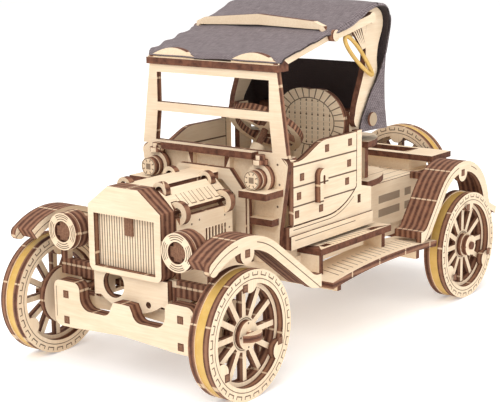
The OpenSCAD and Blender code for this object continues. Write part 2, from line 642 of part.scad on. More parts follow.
module canopy_links() color(birch) car() both() {
  along(bow_x + 0.2) difference() {
    union() {
      polygon([arm_joint - link_up * 1.9, bow_head - link_up * 1.9,
        bow_head + link_up * 1.9, arm_joint + link_up * 1.9]);
      at_joint(arm_joint) circle(2.6);
      at_joint(bow_head) circle(2.6);
    }
    at_joint(arm_joint) circle(pivot_r + run);
  }
  rod_x(bow_x - ply, bow_x + 0.2, bow_head[0], bow_head[1], pivot_r);
}
arm_dir = (arm_joint - arm_foot) / norm(arm_joint - arm_foot);
arm_up = [-arm_dir[1], arm_dir[0]];
rib_y = arm_joint[0] - 4.6;
rib_z = arm_joint[1] + 2.8;
module canopy_front_frame() color(birch) car() {
  flat(header_z) bar([-bow_x, header_y], [bow_x, header_y + 8]);
  both() along(bow_x - ply) {
    polygon([[header_y + 1, header_z + ply], [header_y + 8, header_z + ply], arm_joint - arm_up * 1.9,
      arm_joint + arm_up * 1.9, arm_foot + arm_up * 0.6]);
    at_joint(arm_joint) circle(2.6);
  }
  both() rod_x(bow_x, bow_x + ply + 0.2, arm_joint[0], arm_joint[1], pivot_r);
  // Cross rib over the cloth and the two half-moon blocks on the header
  across(rib_y) polygon(mirrored([[0, rib_z + crown - 2.6], [bow_x - 6, rib_z], [bow_x - 2.8, rib_z],
    [bow_x - 2.8, rib_z - 4], [bow_x - 0.8, rib_z - 4], [bow_x - 0.8, rib_z + 1.4],
    [bow_x - 6, rib_z + 3.4], [0, rib_z + crown + 2.2]]));
  both() across(header_y + 2) polygon(concat([[10.5, header_z + ply]],
    [for (i = [12:-1:0]) let (u = i / 12) [10.5 + 24.5 * (1 - u), header_z + ply + 1.2 + 3.4 * sin(180 * (1 - u))]],
    [[35, header_z + ply]]));
}
module cloth_strip(p0, p1, half_w) {
  d = (p1 - p0) / norm(p1 - p0);
  up = [-d[1], d[0]];
  along(-half_w, 2 * half_w) polygon([p0, p1, p1 + up * cloth, p0 + up * cloth]);
}
cloth_front = [header_y + 5.2, header_z + ply + 4];
cloth_rib_a = [rib_y - 0.3, rib_z - 1.4];
cloth_top = [bow_head[0] - 1, bow_head[1] + 5.3];
module canopy_front_cloth() color("dimgray") car() cloth_strip(cloth_front, cloth_rib_a, bow_x + 1);
module canopy_mid_cloth() color("dimgray") car() cloth_strip(arm_joint + link_up * 3 + link_dir, cloth_top - [2, 0], bow_x + 4.4);
// The back cloth goes over the bow plates and hangs behind them
back_path = flowing([[bow_head[0] + 1.5, bow_head[1] + 6.2], [bow_head[0] + 8, bow_head[1] + 5.8],
  [bow_head[0] + 13.4, bow_head[1] + 2.4], [bow_head[0] + 15.2, bow_head[1] - 4.5],
  [bow_head[0] + 14, bow_head[1] - 13], [bow_head[0] + 13.6, bow_head[1] - 26],
  [bow_pivot_y + 20, bow_pivot_z + 6], [bow_pivot_y + 21, bow_pivot_z - 7]]);
module canopy_back_cloth() color("dimgray") car() along(-bow_x - 3, 2 * bow_x + 6)
  polygon(concat(back_path, [for (i = [len(back_path) - 1:-1:0]) back_path[i] + [cloth, cloth / 2]]));
module canopy_bands() color("goldenrod") car() both() along(bow_x + 0.3, 1.2) {
  p0 = arm_joint + [8, -3];
  p1 = [bow_pivot_y + 7.8, bow_pivot_z + 22];
  d = (p1 - p0) / norm(p1 - p0);
  n = [-d[1], d[0]];
  for (k = [-1, 1]) polygon([p0 + n * (k * 1.8 - 0.6), p1 + n * (k * 1.8 - 0.6),
    p1 + n * (k * 1.8 + 0.6), p0 + n * (k * 1.8 + 0.6)]);
}

chassis_rails();
cross_members();
cockpit_floor();
front_bracket();
front_axle_beam();
engine_plate();
radiator_shell();
radiator_grille();
bonnet_top();
firewall();
bulkhead();
cowl_shelves();
windscreen();
headlamp(1);  // headlamp_left
headlamp(-1);  // headlamp_right
cowl_lamp(1);  // cowl_lamp_left
cowl_lamp(-1);  // cowl_lamp_right
fender_front(1);  // fender_front_left
fender_front(-1);  // fender_front_right
fender_rear(1);  // fender_rear_left
fender_rear(-1);  // fender_rear_right
running_board(1);  // running_board_left
running_board(-1);  // running_board_right
step(1);  // step_left
step(-1);  // step_right
body_side(1);  // body_side_left
body_side(-1);  // body_side_right
seat_box();
seat_back();
rear_ledges();
loading_deck();
cargo_box();
tail_bar();
spare_wheel();
spare_tyre();
steering_column();
steering_wheel();
tie_rod();
knuckle(1);  // knuckle_left
knuckle(-1);  // knuckle_right
wheel_front(1);  // wheel_front_left
wheel_front(-1);  // wheel_front_right
tyre_front(1);  // tyre_front_left
tyre_front(-1);  // tyre_front_right
rear_axle();
wheels_rear();
tyres_rear();
door(1);  // door_left
door(-1);  // door_right
bonnet_slope(1);  // bonnet_slope_left
bonnet_slope(-1);  // bonnet_slope_right
bonnet_side(1);  // bonnet_side_left
bonnet_side(-1);  // bonnet_side_right
canopy_bow();
canopy_links();
canopy_front_frame();
canopy_front_cloth();
canopy_mid_cloth();
canopy_back_cloth();
canopy_bands();
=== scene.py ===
import bpy
import math
from mathutils import Matrix, Vector
from mathutils.bvhtree import BVHTree


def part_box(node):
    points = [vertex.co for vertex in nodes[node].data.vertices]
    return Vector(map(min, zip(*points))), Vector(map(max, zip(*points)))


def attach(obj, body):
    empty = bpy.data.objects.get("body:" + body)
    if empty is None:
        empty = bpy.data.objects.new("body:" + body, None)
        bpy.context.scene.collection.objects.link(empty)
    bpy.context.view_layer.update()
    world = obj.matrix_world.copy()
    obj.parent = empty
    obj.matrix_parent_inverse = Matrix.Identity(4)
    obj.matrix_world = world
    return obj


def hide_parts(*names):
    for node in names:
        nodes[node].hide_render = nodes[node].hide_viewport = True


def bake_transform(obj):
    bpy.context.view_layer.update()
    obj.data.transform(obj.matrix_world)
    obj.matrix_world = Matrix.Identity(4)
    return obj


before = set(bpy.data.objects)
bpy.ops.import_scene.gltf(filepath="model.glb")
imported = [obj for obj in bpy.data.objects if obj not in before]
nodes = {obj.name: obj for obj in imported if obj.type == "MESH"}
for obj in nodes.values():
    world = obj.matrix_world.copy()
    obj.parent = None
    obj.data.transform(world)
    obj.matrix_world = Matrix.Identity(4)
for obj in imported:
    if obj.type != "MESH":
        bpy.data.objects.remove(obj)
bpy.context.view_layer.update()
mm = 0.001
# the middle of the frame lies this many millimetres behind the front axle
axleToMiddle = 98
print("frame loaded")


def middle(node):
    low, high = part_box(node)
    return (low + high) / 2


cameraSettings = {"place": (0.3607, -0.4909, 0.1883), "yaw": 37.56, "pitch": 12.1, "roll": -0.67, "lens": 93.5}


def makeCamera(s):
    yaw, pitch, roll = (math.radians(s[k]) for k in ("yaw", "pitch", "roll"))
    ahead = Vector((-math.sin(yaw) * math.cos(pitch), math.cos(yaw) * math.cos(pitch), -math.sin(pitch)))
    right = Vector((math.cos(yaw), math.sin(yaw), 0))
    up = right.cross(ahead)
    tiltedRight = right * math.cos(roll) + up * math.sin(roll)
    tiltedUp = up * math.cos(roll) - right * math.sin(roll)
    data = bpy.data.cameras.new("studioCamera")
    data.lens = s["lens"]
    data.sensor_width = 36
    data.clip_start = 0.01
    cam = bpy.data.objects.new("studioCamera", data)
    turn = Matrix((tiltedRight, tiltedUp, -ahead)).transposed().to_4x4()
    cam.matrix_world = Matrix.Translation(Vector(s["place"])) @ turn
    bpy.context.scene.collection.objects.link(cam)
    bpy.context.scene.camera = cam


lightSettings = {
    "sky": 0.76,
    "backdrop": 1.0,
    "key": {"place": (0.35, -0.9, 0.9), "size": 0.8, "power": 7.6},
    "fill": {"place": (1.1, 0.1, 0.5), "size": 0.8, "power": 2.4},
    "top": {"place": (-0.2, 0.1, 1.3), "size": 1.2, "power": 7.0},
}


def makeLights(s):
    world = bpy.data.worlds.new("paleStudio")
    bpy.context.scene.world = world
    world.use_nodes = True
    tree = world.node_tree
    sky = tree.nodes["Background"]
    sky.inputs["Color"].default_value = (1.0, 0.985, 0.965, 1)
    sky.inputs["Strength"].default_value = s["sky"]
    paper = tree.nodes.new("ShaderNodeBackground")
    paper.inputs["Strength"].default_value = s["backdrop"]
    paper.inputs["Color"].default_value = (1, 1, 1, 1)
    seen = tree.nodes.new("ShaderNodeLightPath")
    choose = tree.nodes.new("ShaderNodeMixShader")
    tree.links.new(seen.outputs["Is Camera Ray"], choose.inputs[0])
    tree.links.new(sky.outputs[0], choose.inputs[1])
    tree.links.new(paper.outputs[0], choose.inputs[2])
    tree.links.new(choose.outputs[0], tree.nodes["World Output"].inputs[0])
    for name in ("key", "fill", "top"):
        data = bpy.data.lights.new(name + "Light", "AREA")
        data.size = s[name]["size"]
        data.energy = s[name]["power"]
        data.color = (1.0, 0.985, 0.96)
        lamp = bpy.data.objects.new(name + "Light", data)
        lamp.location = s[name]["place"]
        lamp.rotation_euler = (Vector((0, 0, 0.06)) - lamp.location).to_track_quat("-Z", "Y").to_euler()
        bpy.context.scene.collection.objects.link(lamp)


makeCamera(cameraSettings)
makeLights(lightSettings)
bpy.context.scene.view_settings.view_transform = "Standard"
print("camera and light set")


class Wire:
    # one output socket of a material, with the operators that the patterns use
    def __init__(self, sheet, socket):
        self.sheet, self.socket = sheet, socket

    def __add__(self, other):
        return self.sheet.maths("ADD", self, other)

    __radd__ = __add__

    def __mul__(self, other):
        return self.sheet.maths("MULTIPLY", self, other)

    __rmul__ = __mul__

    def __sub__(self, other):
        return self.sheet.maths("SUBTRACT", self, other)

    def __rsub__(self, other):
        return self.sheet.maths("SUBTRACT", other, self)

    def __truediv__(self, other):
        return self.sheet.maths("DIVIDE", self, other)

    def __mod__(self, other):
        return self.sheet.maths("FLOORED_MODULO", self, other)

    def __pow__(self, other):
        return self.sheet.maths("POWER", self, other)

    def __gt__(self, other):
        return self.sheet.maths("GREATER_THAN", self, other)

    def __lt__(self, other):
        return self.sheet.maths("LESS_THAN", self, other)

    def __abs__(self):
        return self.sheet.maths("ABSOLUTE", self)

    def __or__(self, other):
        return self.sheet.maths("MAXIMUM", self, other)

    def __and__(self, other):
        return self.sheet.maths("MULTIPLY", self, other)


class Finish:
    # one material, built node by node
    def __init__(self, name):
        self.material = bpy.data.materials.new(name)
        self.material.use_nodes = True
        self.tree = self.material.node_tree
        self.shader = self.tree.nodes["Principled BSDF"]
        self.place = None

    def plug(self, value, socket):
        if isinstance(value, Wire):
            self.tree.links.new(value.socket, socket)
        else:
            socket.default_value = value

    def node(self, kind, settings=None, inputs=None, output=0):
        made = self.tree.nodes.new(kind)
        for key, value in (settings or {}).items():
            if key == "stops":
                ramp = made.color_ramp
                while len(ramp.elements) < len(value):
                    ramp.elements.new(0.5)
                for stop, (at, colour) in zip(ramp.elements, value):
                    stop.position = at
                    stop.color = (*colour, 1)
            else:
                setattr(made, key, value)
        for key, value in (inputs or {}).items():
            self.plug(value, made.inputs[key])
        return Wire(self, made.outputs[output])

    def maths(self, operation, a, b=None):
        inputs = {0: a}
        if b is not None:
            inputs[1] = b
        return self.node("ShaderNodeMath", {"operation": operation}, inputs)

    def clamp(self, value):
        return self.node("ShaderNodeMath", {"operation": "ADD", "use_clamp": True}, {0: value, 1: 0.0})

    def where(self):
        # the three coordinates in millimetres
        if self.place is None:
            point = self.node("ShaderNodeTexCoord", output=3)
            split = self.tree.nodes.new("ShaderNodeSeparateXYZ")
            self.tree.links.new(point.socket, split.inputs[0])
            self.place = tuple(Wire(self, split.outputs[i]) * 1000 for i in range(3))
        return self.place

    def vector(self, x, y, z):
        return self.node("ShaderNodeCombineXYZ", None, {0: x, 1: y, 2: z})

    def noise(self, vector, scale, detail=3, rough=0.55):
        return self.node("ShaderNodeTexNoise", None,
                         {"Vector": vector, "Scale": scale, "Detail": detail, "Roughness": rough})

    def blendColour(self, factor, a, b, kind="MIX"):
        made = self.tree.nodes.new("ShaderNodeMix")
        made.data_type = "RGBA"
        made.blend_type = kind
        for value, index in ((factor, 0), (a, 6), (b, 7)):
            if isinstance(value, tuple):
                value = (*value, 1)
            self.plug(value, made.inputs[index])
        return Wire(self, made.outputs[2])

    def ramp(self, factor, stops):
        return self.node("ShaderNodeValToRGB", {"stops": stops}, {"Fac": factor})

    def bump(self, height, strength, distance):
        return self.node("ShaderNodeBump", None,
                         {"Height": height, "Strength": strength, "Distance": distance})

    def surface(self, **inputs):
        for key, value in inputs.items():
            name = {"colour": "Base Color", "roughness": "Roughness", "normal": "Normal", "sheen": "Sheen Weight",
                    "sheenRough": "Sheen Roughness", "gloss": "Specular IOR Level", "alpha": "Alpha"}[key]
            if isinstance(value, tuple):
                value = (*value, 1)
            self.plug(value, self.shader.inputs[name])
        return self.material

    # masks, all from 0 to 1
    def stroke(self, value, at, half, soft=0.12):
        return self.clamp((half + soft - abs(value - at)) / soft)

    def between(self, value, low, high, soft=0.12):
        return self.stroke(value, (low + high) / 2, (high - low) / 2, soft)

    def dot(self, u, v, radius):
        return self.stroke((u * u + v * v) ** 0.5, 0, radius)


birch = {
    "pale": (0.86, 0.715, 0.535),
    "warm": (0.74, 0.56, 0.375),
    "vein": (0.56, 0.37, 0.22),
    "burn": (0.060, 0.024, 0.013),
}
scorch = {
    "dark": (0.060, 0.022, 0.014),
    "brown": (0.215, 0.088, 0.050),
    "light": (0.42, 0.225, 0.135),
}


def birchFace(name, grain="y", engrave=None, tone=1.0):
    f = Finish(name)
    x, y, z = f.where()
    stretch = {"x": (0.035, 0.55, 0.55), "y": (0.55, 0.035, 0.55), "z": (0.55, 0.55, 0.035)}[grain]
    along = f.vector(x * stretch[0], y * stretch[1], z * stretch[2])
    fibres = f.noise(along, 2.2, 5, 0.6)
    cloud = f.noise(f.vector(x, y, z), 0.045, 2)
    pores = f.noise(f.vector(x * stretch[0] * 5, y * stretch[1] * 5, z * stretch[2] * 5), 1.6, 2)
    wood = f.blendColour(f.clamp(fibres * 1.7 - 0.45), birch["pale"], birch["warm"])
    wood = f.blendColour(f.clamp(cloud * 2.4 - 1.0) * 0.35, wood, birch["vein"])
    wood = f.blendColour(f.clamp(pores * 4 - 2.5) * 0.28, wood, birch["vein"])
    if tone != 1.0:
        wood = f.blendColour(1.0, wood, (tone, tone * 0.94, tone * 0.88), "MULTIPLY")
    height = fibres * 0.12
    rough = 0.62 + fibres * 0.2
    if engrave:
        mark = f.clamp(engrave(f, x, y, z))
        wood = f.blendColour(mark * 0.9, wood, birch["burn"])
        height = height - mark
        rough = rough + mark * 0.15
    return f.surface(colour=wood, roughness=rough, normal=f.bump(height, 0.55, 0.00025), gloss=0.3)


def scorchedEdge(name, axis=None, start=0.0, ply=3.0):
    # cut edges: brown char, the plies as stripes, and a few paler holding tabs
    f = Finish(name)
    x, y, z = f.where()
    char = f.noise(f.vector(x, y, z), 0.35, 4, 0.65)
    speck = f.noise(f.vector(x, y, z), 2.4, 2)
    wood = f.blendColour(f.clamp(char * 2.2 - 0.6), scorch["dark"], scorch["brown"])
    height = speck * 0.3
    if axis:
        depth = ({"x": abs(x), "y": y, "z": z}[axis] - start) % ply
        inner = f.between(depth, ply * 0.36, ply * 0.62, ply * 0.14)
        seam = f.clamp(f.stroke(depth, 0, 0.14) | f.stroke(depth, ply, 0.14))
        run = {"x": y * 0.8 + z, "y": x + z * 0.9, "z": x * 0.9 + y}[axis]
        tab = f.stroke(run % 23.0, 7.0, 0.35, 0.2) & f.between(depth, ply * 0.1, ply * 0.9, 0.2)
        wood = f.blendColour(inner * 0.45, wood, scorch["light"])
        wood = f.blendColour(seam * 0.85, wood, scorch["dark"])
        wood = f.blendColour(tab * 0.8, wood, birch["warm"])
        height = height - seam
    return f.surface(colour=wood, roughness=0.7 + speck * 0.15, normal=f.bump(height, 0.4, 0.0003), gloss=0.25)


edges = {
    "x": scorchedEdge("scorchedEdgeX", "x", 1.5),
    "y": scorchedEdge("scorchedEdgeY", "y", 0.0),
    "z": scorchedEdge("scorchedEdgeZ", "z", 0.0),
    "auto": scorchedEdge("scorchedEdge"),
}
outerPly = (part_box("fender_front_left")[1].x / mm) % 3.0
edges["fender"] = scorchedEdge("fenderEdge", "x", outerPly)
plain = {axis: birchFace("birch" + axis.upper(), axis) for axis in "xyz"}


# square pins are the ends of the tabs that hold the sheets together
def pinFinish(name):
    f = Finish(name)
    x, y, z = f.where()
    grain = f.noise(f.vector(x, y * 0.4, z), 1.3, 4, 0.7)
    stripe = f.stroke((y + x) % 1.0, 0.5, 0.2, 0.25)
    colour = f.blendColour(f.clamp(grain * 2 - 0.5), (0.13, 0.055, 0.032), (0.36, 0.19, 0.11))
    colour = f.blendColour(stripe * 0.35, colour, (0.08, 0.03, 0.018))
    return f.surface(colour=colour, roughness=0.75, normal=f.bump(grain + stripe, 0.4, 0.0002), gloss=0.25)


pinWood = pinFinish("pinEndGrain")
charLine = scorchedEdge("charredGap")


def rimFinish(name, centre, lean):
    # the rim of the steering wheel is cut in small notches
    f = Finish(name)
    x, y, z = f.where()
    u = x - centre[0]
    v = (y - centre[1]) * -math.sin(lean) + (z - centre[2]) * math.cos(lean)
    turn = f.maths("ARCTAN2", v, u) / (2 * math.pi)
    notch = f.stroke((turn * 46) % 1.0, 0.5, 0.2, 0.12)
    char = f.noise(f.vector(x, y, z), 0.35, 4, 0.65)
    wood = f.blendColour(f.clamp(char * 2.2 - 0.6), scorch["brown"], scorch["light"])
    wood = f.blendColour(notch * 0.85, wood, scorch["dark"])
    return f.surface(colour=wood, roughness=0.75, normal=f.bump(1 - notch, 0.6, 0.0005), gloss=0.25)


def dress(node, face, edge, sheet, extra=None):
    # broad sides of the sheets get the face finish, cut edges the scorched one
    mesh = nodes[node].data
    mesh.materials.clear()
    for material in (face, edge, pinWood):
        mesh.materials.append(material)
    tree = None
    if sheet == "auto":
        tree = BVHTree.FromPolygons([v.co for v in mesh.vertices], [tuple(p.vertices) for p in mesh.polygons])
    for polygon in mesh.polygons:
        n, c = polygon.normal, polygon.center / mm
        if tree is not None:
            start = polygon.center - n * 0.00002
            hit = tree.ray_cast(start, -n, 0.0066)
            thick = hit[3] / mm if hit[0] is not None else 99
            broad = 1.2 < thick < 3.3 or 5.7 < thick < 6.3
        elif isinstance(sheet, str):
            broad = abs(n["xyz".index(sheet)]) > 0.9
        else:
            broad = abs(n.dot(Vector(sheet))) > 0.9
        if extra:
            broad = extra(n, c, broad)
        polygon.material_index = broad if broad == 2 else (0 if broad else 1)


def polar(f, u, v):
    return (u * u + v * v) ** 0.5, f.maths("ARCTAN2", v, u) / (2 * math.pi)


wheelMarks = {"brackets": 28, "outer": 26.05, "inner": 24.75, "circle": 23.2, "hubLine": 6.6}


def wheelEngraving(centre, across="y"):
    def draw(f, x, y, z):
        s = wheelMarks
        u = (y if across == "y" else x) - centre[0]
        r, turn = polar(f, u, z - centre[1])
        part = (turn * s["brackets"]) % 1.0
        foot = f.stroke(r, s["inner"], 0.17) & f.between(part, 0.2, 0.78, 0.02)
        legs = f.stroke(part, 0.2, 0.03, 0.02) | f.stroke(part, 0.78, 0.03, 0.02)
        legs = legs & f.between(r, s["inner"], s["outer"])
        circle = f.stroke(r, s["circle"], 0.11)
        hub = f.stroke(r, s["hubLine"], 0.12)
        rTurn = (turn * 4 + 0.5) % 1.0
        dots = f.dot((rTurn - 0.5) * 5.0 * math.pi / 2, r - 5.0, 0.38)
        return foot | legs | circle | hub | dots
    return draw


wheelParts = {
    "wheel_front_left": "tyre_front_left",
    "wheel_front_right": "tyre_front_right",
    "wheels_rear": "tyres_rear",
}
for wheel, tyre in wheelParts.items():
    hub = middle(tyre) / mm
    face = birchFace(wheel.replace("_", "") + "Birch", "z", wheelEngraving((hub.y, hub.z)))
    dress(wheel, face, edges["x"], "x")
spareHub = middle("spare_tyre") / mm
dress("spare_wheel", birchFace("spareBirch", "z", wheelEngraving((spareHub.x, spareHub.z), "x")), edges["y"], "y")

# centre and radius of each fender's line and the lean of its slope, in degrees
fenderLine = {
    "front": (0.5 - axleToMiddle, 30.0, 34.4, 54.0),
    "rear": (181.6 - 1.5 - axleToMiddle, 41.5, 26.2, 38.5),
}


def fenderEngraving(place, flip):
    def draw(f, x, y, z):
        cy, cz, radius, slope = place
        u = (y - cy) * flip
        v = z - cz
        a = math.radians(slope)
        r = (u * u + v * v) ** 0.5
        ahead = u * math.sin(a) - v * math.cos(a)
        beside = u * math.cos(a) + v * math.sin(a)
        isSlope = ahead > 0
        distance = isSlope * beside + (1 - isSlope) * r
        gap = f.stroke(u, 1.6 * flip, 6.2, 0.1)
        return f.stroke(distance, radius, 0.14) & (1 - gap) & (beside > 3)
    return draw


for side in ("left", "right"):
    face = birchFace("frontFenderBirch" + side, "y", fenderEngraving(fenderLine["front"], 1))
    dress("fender_front_" + side, face, edges["fender"], "x")
    face = birchFace("rearFenderBirch" + side, "y", fenderEngraving(fenderLine["rear"], -1))
    dress("fender_rear_" + side, face, edges["fender"], "x")

doorMarks = {"planks": (85.0, 75.75, 67.1)}


def doorEngraving(f, x, y, z):
    lines = [f.stroke(z, height, 0.3) for height in doorMarks["planks"]]
    return lines[0] | lines[1] | lines[2]


def grilleEngraving(f, x, y, z):
    return f.stroke(x % 1.44, 0.72, 0.17, 0.1)


def slopeEngraving(f, x, y, z):
    step = (y + 92.0) % 5.2
    height = f.between(z, 74.2, 78.2)
    return ((f.stroke(step, 0.7, 0.1) | f.stroke(step, 3.9, 0.1)) & height | (
        f.stroke(z, 74.2, 0.1) & f.between(step, 0.7, 3.9))) & f.between(y, -92, -66)


def sideEngraving(f, x, y, z):
    y = y + axleToMiddle
    front = f.dot(y - 9, z - 66, 0.4) | f.dot(y - 14, z - 67, 0.4)
    return front | f.dot(y - 31, z - 66, 0.4) | f.dot(y - 34, z - 60, 0.4)


def boardEngraving(f, x, y, z):
    line = ((y + x * 0.25) % 3.9)
    return f.stroke(line, 1.9, 0.2) & f.between(abs(x), 42.5, 53.0) & f.between(y, -29, 55)


def stepEngraving(f, x, y, z):
    line = ((y + x * 0.2) % 3.0)
    return f.stroke(line, 1.5, 0.18) & f.between(abs(x), 36.0, 45.6) & f.between(y, -22, 18)


def seatEngraving(f, x, y, z):
    u, v = x - 13.5, z - 96.5
    r, turn = polar(f, u * 0.8, v)
    spokes = f.stroke((turn * 30) % 1.0, 0.5, 0.05, 0.05) & f.between(r, 11.3, 16.5)
    oval = f.stroke(r, 11.2, 0.14)
    column = f.stroke(u % 3.3, 1.65, 0.09, 0.1) & (r < 11) & ((v % 2.2) > 0.7)
    knot = f.dot((u % 3.3) - 1.65, (v % 6.6) - 3.3, 0.42) & (r < 10.6)
    return (spokes | oval | column | knot) & (z > 78)


def lampEngraving(centre):
    def draw(f, x, y, z):
        r, turn = polar(f, x - centre[0], z - centre[1])
        rings = f.stroke(r, 5.5, 0.12) | f.stroke(r, 6.5, 0.12) | f.stroke(r, 7.3, 0.12)
        return rings & f.between((turn * 4 + 0.5) % 1.0, 0.16, 0.84, 0.03)
    return draw


def cowlLampEngraving(centre):
    def draw(f, x, y, z):
        u, v = x - centre[0], z - centre[1]
        r, turn = polar(f, u, v)
        rays = f.stroke((turn * 8) % 1.0, 0.5, 0.07, 0.05) & f.between(r, 2.3, 3.3)
        plug = f.stroke(u, 0, 1.25) & f.stroke(v, 0, 1.25)
        return rays | f.stroke(r, 3.75, 0.1) | plug * 0.8
    return draw


def bulkheadEngraving(f, x, y, z):
    ax = abs(x)
    return f.dot(ax - 36, z - 86.5, 0.45) | f.dot(ax - 37, z - 77.8, 0.45) | f.dot(ax - 35.9, z - 68, 0.45)


def deckEngraving(f, x, y, z):
    planks = f.stroke(x % 6.5, 3.25, 0.14) & (z > 60)
    # ends of the tabs that pass through the side boards
    rows = f.stroke(z, 52.4, 1.9) | f.stroke(z, 45.4, 1.9)
    tabs = f.between(y, 29, 37.5) | f.between(y, 49.5, 69.6) | f.between(y, 74.6, 80.6)
    return planks | (tabs & rows & (abs(x) > 25.5) & (z < 57)) * 0.72


def sillEngraving(f, x, y, z):
    y = y + axleToMiddle
    curve = z - 56.9 - (f.clamp((y - 82) / 24) ** 2) * 9
    return (f.stroke(curve, 0, 0.12) | f.stroke(z, 52.4, 0.12)) & f.between(y, 55, 103)


def bracketEngraving(f, x, y, z):
    return f.stroke(abs(x), 38.2, 0.1) & f.between(z, 21.5, 35)


def ledgeEngraving(f, x, y, z):
    return f.stroke(abs(x), 30, 0.12) & (y > 22)


# the steering wheel's middle and lean, and the way the bonnet's left slope faces
steeringHub = (13, -26, 98)
columnLean = math.radians(50)
steerLean = Vector((0, math.cos(columnLean), math.sin(columnLean)))
slopeLean = Vector((0.662, 0, 0.749))
sheets = {
    "chassis_rails": ("x", None), "front_bracket": ("y", bracketEngraving), "front_axle_beam": ("y", None),
    "engine_plate": ("y", None), "radiator_shell": ("y", None), "radiator_grille": ("y", grilleEngraving),
    "firewall": ("y", None), "bulkhead": ("auto", bulkheadEngraving), "windscreen": ("y", None),
    "cockpit_floor": ("z", None), "seat_back": ("y", seatEngraving), "cowl_shelves": ("auto", None),
    "tail_bar": ("y", None), "tie_rod": ("z", None), "bonnet_top": ("z", None), "seat_box": ("auto", None),
    "rear_ledges": ("auto", ledgeEngraving), "loading_deck": ("auto", deckEngraving), "cargo_box": ("auto", None),
    "steering_column": ("auto", None), "steering_wheel": (tuple(steerLean), None), "cross_members": ("auto", None),
    "canopy_bow": ("auto", None), "canopy_links": ("x", None), "canopy_front_frame": ("auto", None),
}
for side in ("left", "right"):
    sheets["door_" + side] = ("x", doorEngraving)
    sheets["body_side_" + side] = ("x", sillEngraving)
    sheets["bonnet_side_" + side] = ("x", sideEngraving)
    mirror = Vector((1 if side == "left" else -1, 1, 1))
    sheets["bonnet_slope_" + side] = (tuple(slopeLean * mirror), slopeEngraving)
    sheets["running_board_" + side] = ("z", boardEngraving)
    sheets["step_" + side] = ("auto", stepEngraving)
    sheets["knuckle_" + side] = ("z", None)
    out = 1 if side == "left" else -1
    sheets["headlamp_" + side] = ("y", lampEngraving((32.1 * out, 60.1)))
    sheets["cowl_lamp_" + side] = ("y", cowlLampEngraving((29.4 * out, 80.5)))


def onRing(n, c, broad):
    # the hinge rings stand across the bonnet, whatever way their panel lies
    near = math.hypot(abs(c.x) - 10, c.z - 80) < 3.9 or math.hypot(abs(c.x) - 19.5, c.z - 71.6) < 5.1
    ring = near and (abs(c.y + 65.5) < 2.6 or abs(c.y + 95.2) < 2.6)
    return abs(n.y) > 0.9 if ring else broad


def lampCore(n, c, broad):
    if math.hypot(abs(c.x) - 32.1, c.z - 60.1) > 4.58:
        return broad
    return 2 if n.y < -0.9 and c.y < -110 else False


def grilleTab(n, c, broad):
    return 2 if -1.6 < c.x < 3.1 and c.y < -105.05 else broad


def deckFaces(n, c, broad):
    return abs(n.z) > 0.9 if c.z > 57.9 else abs(n.x) > 0.9


def ledgeFaces(n, c, broad):
    return abs(n.z) > 0.9 if 64.9 < c.z < 68.1 or 83.9 < c.z < 87.1 else abs(n.y) > 0.9


def boxFaces(n, c, broad):
    return abs(n.z) > 0.9 if c.z > 66.9 else abs(n.z) < 0.1


def seatFaces(n, c, broad):
    if c.y > 8:
        return abs(n.x) > 0.9
    return abs(n.z) > 0.9 if 59.9 < c.z < 66.1 else abs(n.z) < 0.1


extras = {"bonnet_top": onRing, "radiator_grille": grilleTab, "loading_deck": deckFaces,
          "rear_ledges": ledgeFaces, "cargo_box": boxFaces, "seat_box": seatFaces}
for side in ("left", "right"):
    extras["bonnet_slope_" + side] = onRing
    extras["bonnet_side_" + side] = onRing
    extras["headlamp_" + side] = lampCore
edges["rim"] = rimFinish("notchedRim", steeringHub, columnLean)
for name, (sheet, engrave) in sheets.items():
    if not isinstance(sheet, str):
        face = birchFace(name.replace("_", "") + "Birch", "y", engrave)
        dress(name, face, edges["rim" if name == "steering_wheel" else "auto"], sheet, extras.get(name))
        continue
    grain = {"x": "y", "y": "x", "z": "y", "auto": "y"}[sheet]
    face = birchFace(name.replace("_", "") + "Birch", grain, engrave) if engrave else plain[grain]
    dress(name, face, edges[sheet], sheet, extras.get(name))
nodes["rear_axle"].data.materials.clear()
nodes["rear_axle"].data.materials.append(scorchedEdge("axleDowel"))
print("plywood dressed")


def rubberFinish(name):
    f = Finish(name)
    x, y, z = f.where()
    dust = f.noise(f.vector(x, y, z), 0.5, 4)
    wear = f.noise(f.vector(x * 0.2, y * 0.2, z * 0.2), 0.6, 2)
    colour = f.blendColour(f.clamp(wear * 2 - 0.5), (0.56, 0.34, 0.075), (0.70, 0.46, 0.14))
    colour = f.blendColour(f.clamp(dust * 3 - 1.6) * 0.3, colour, (0.80, 0.62, 0.30))
    return f.surface(colour=colour, roughness=0.42 + dust * 0.2, normal=f.bump(dust, 0.15, 0.0002), gloss=0.45)


rubber = rubberFinish("amberRubber")
for name in ("tyre_front_left", "tyre_front_right", "tyres_rear", "spare_tyre", "canopy_bands"):
    nodes[name].data.materials.clear()
    nodes[name].data.materials.append(rubber)


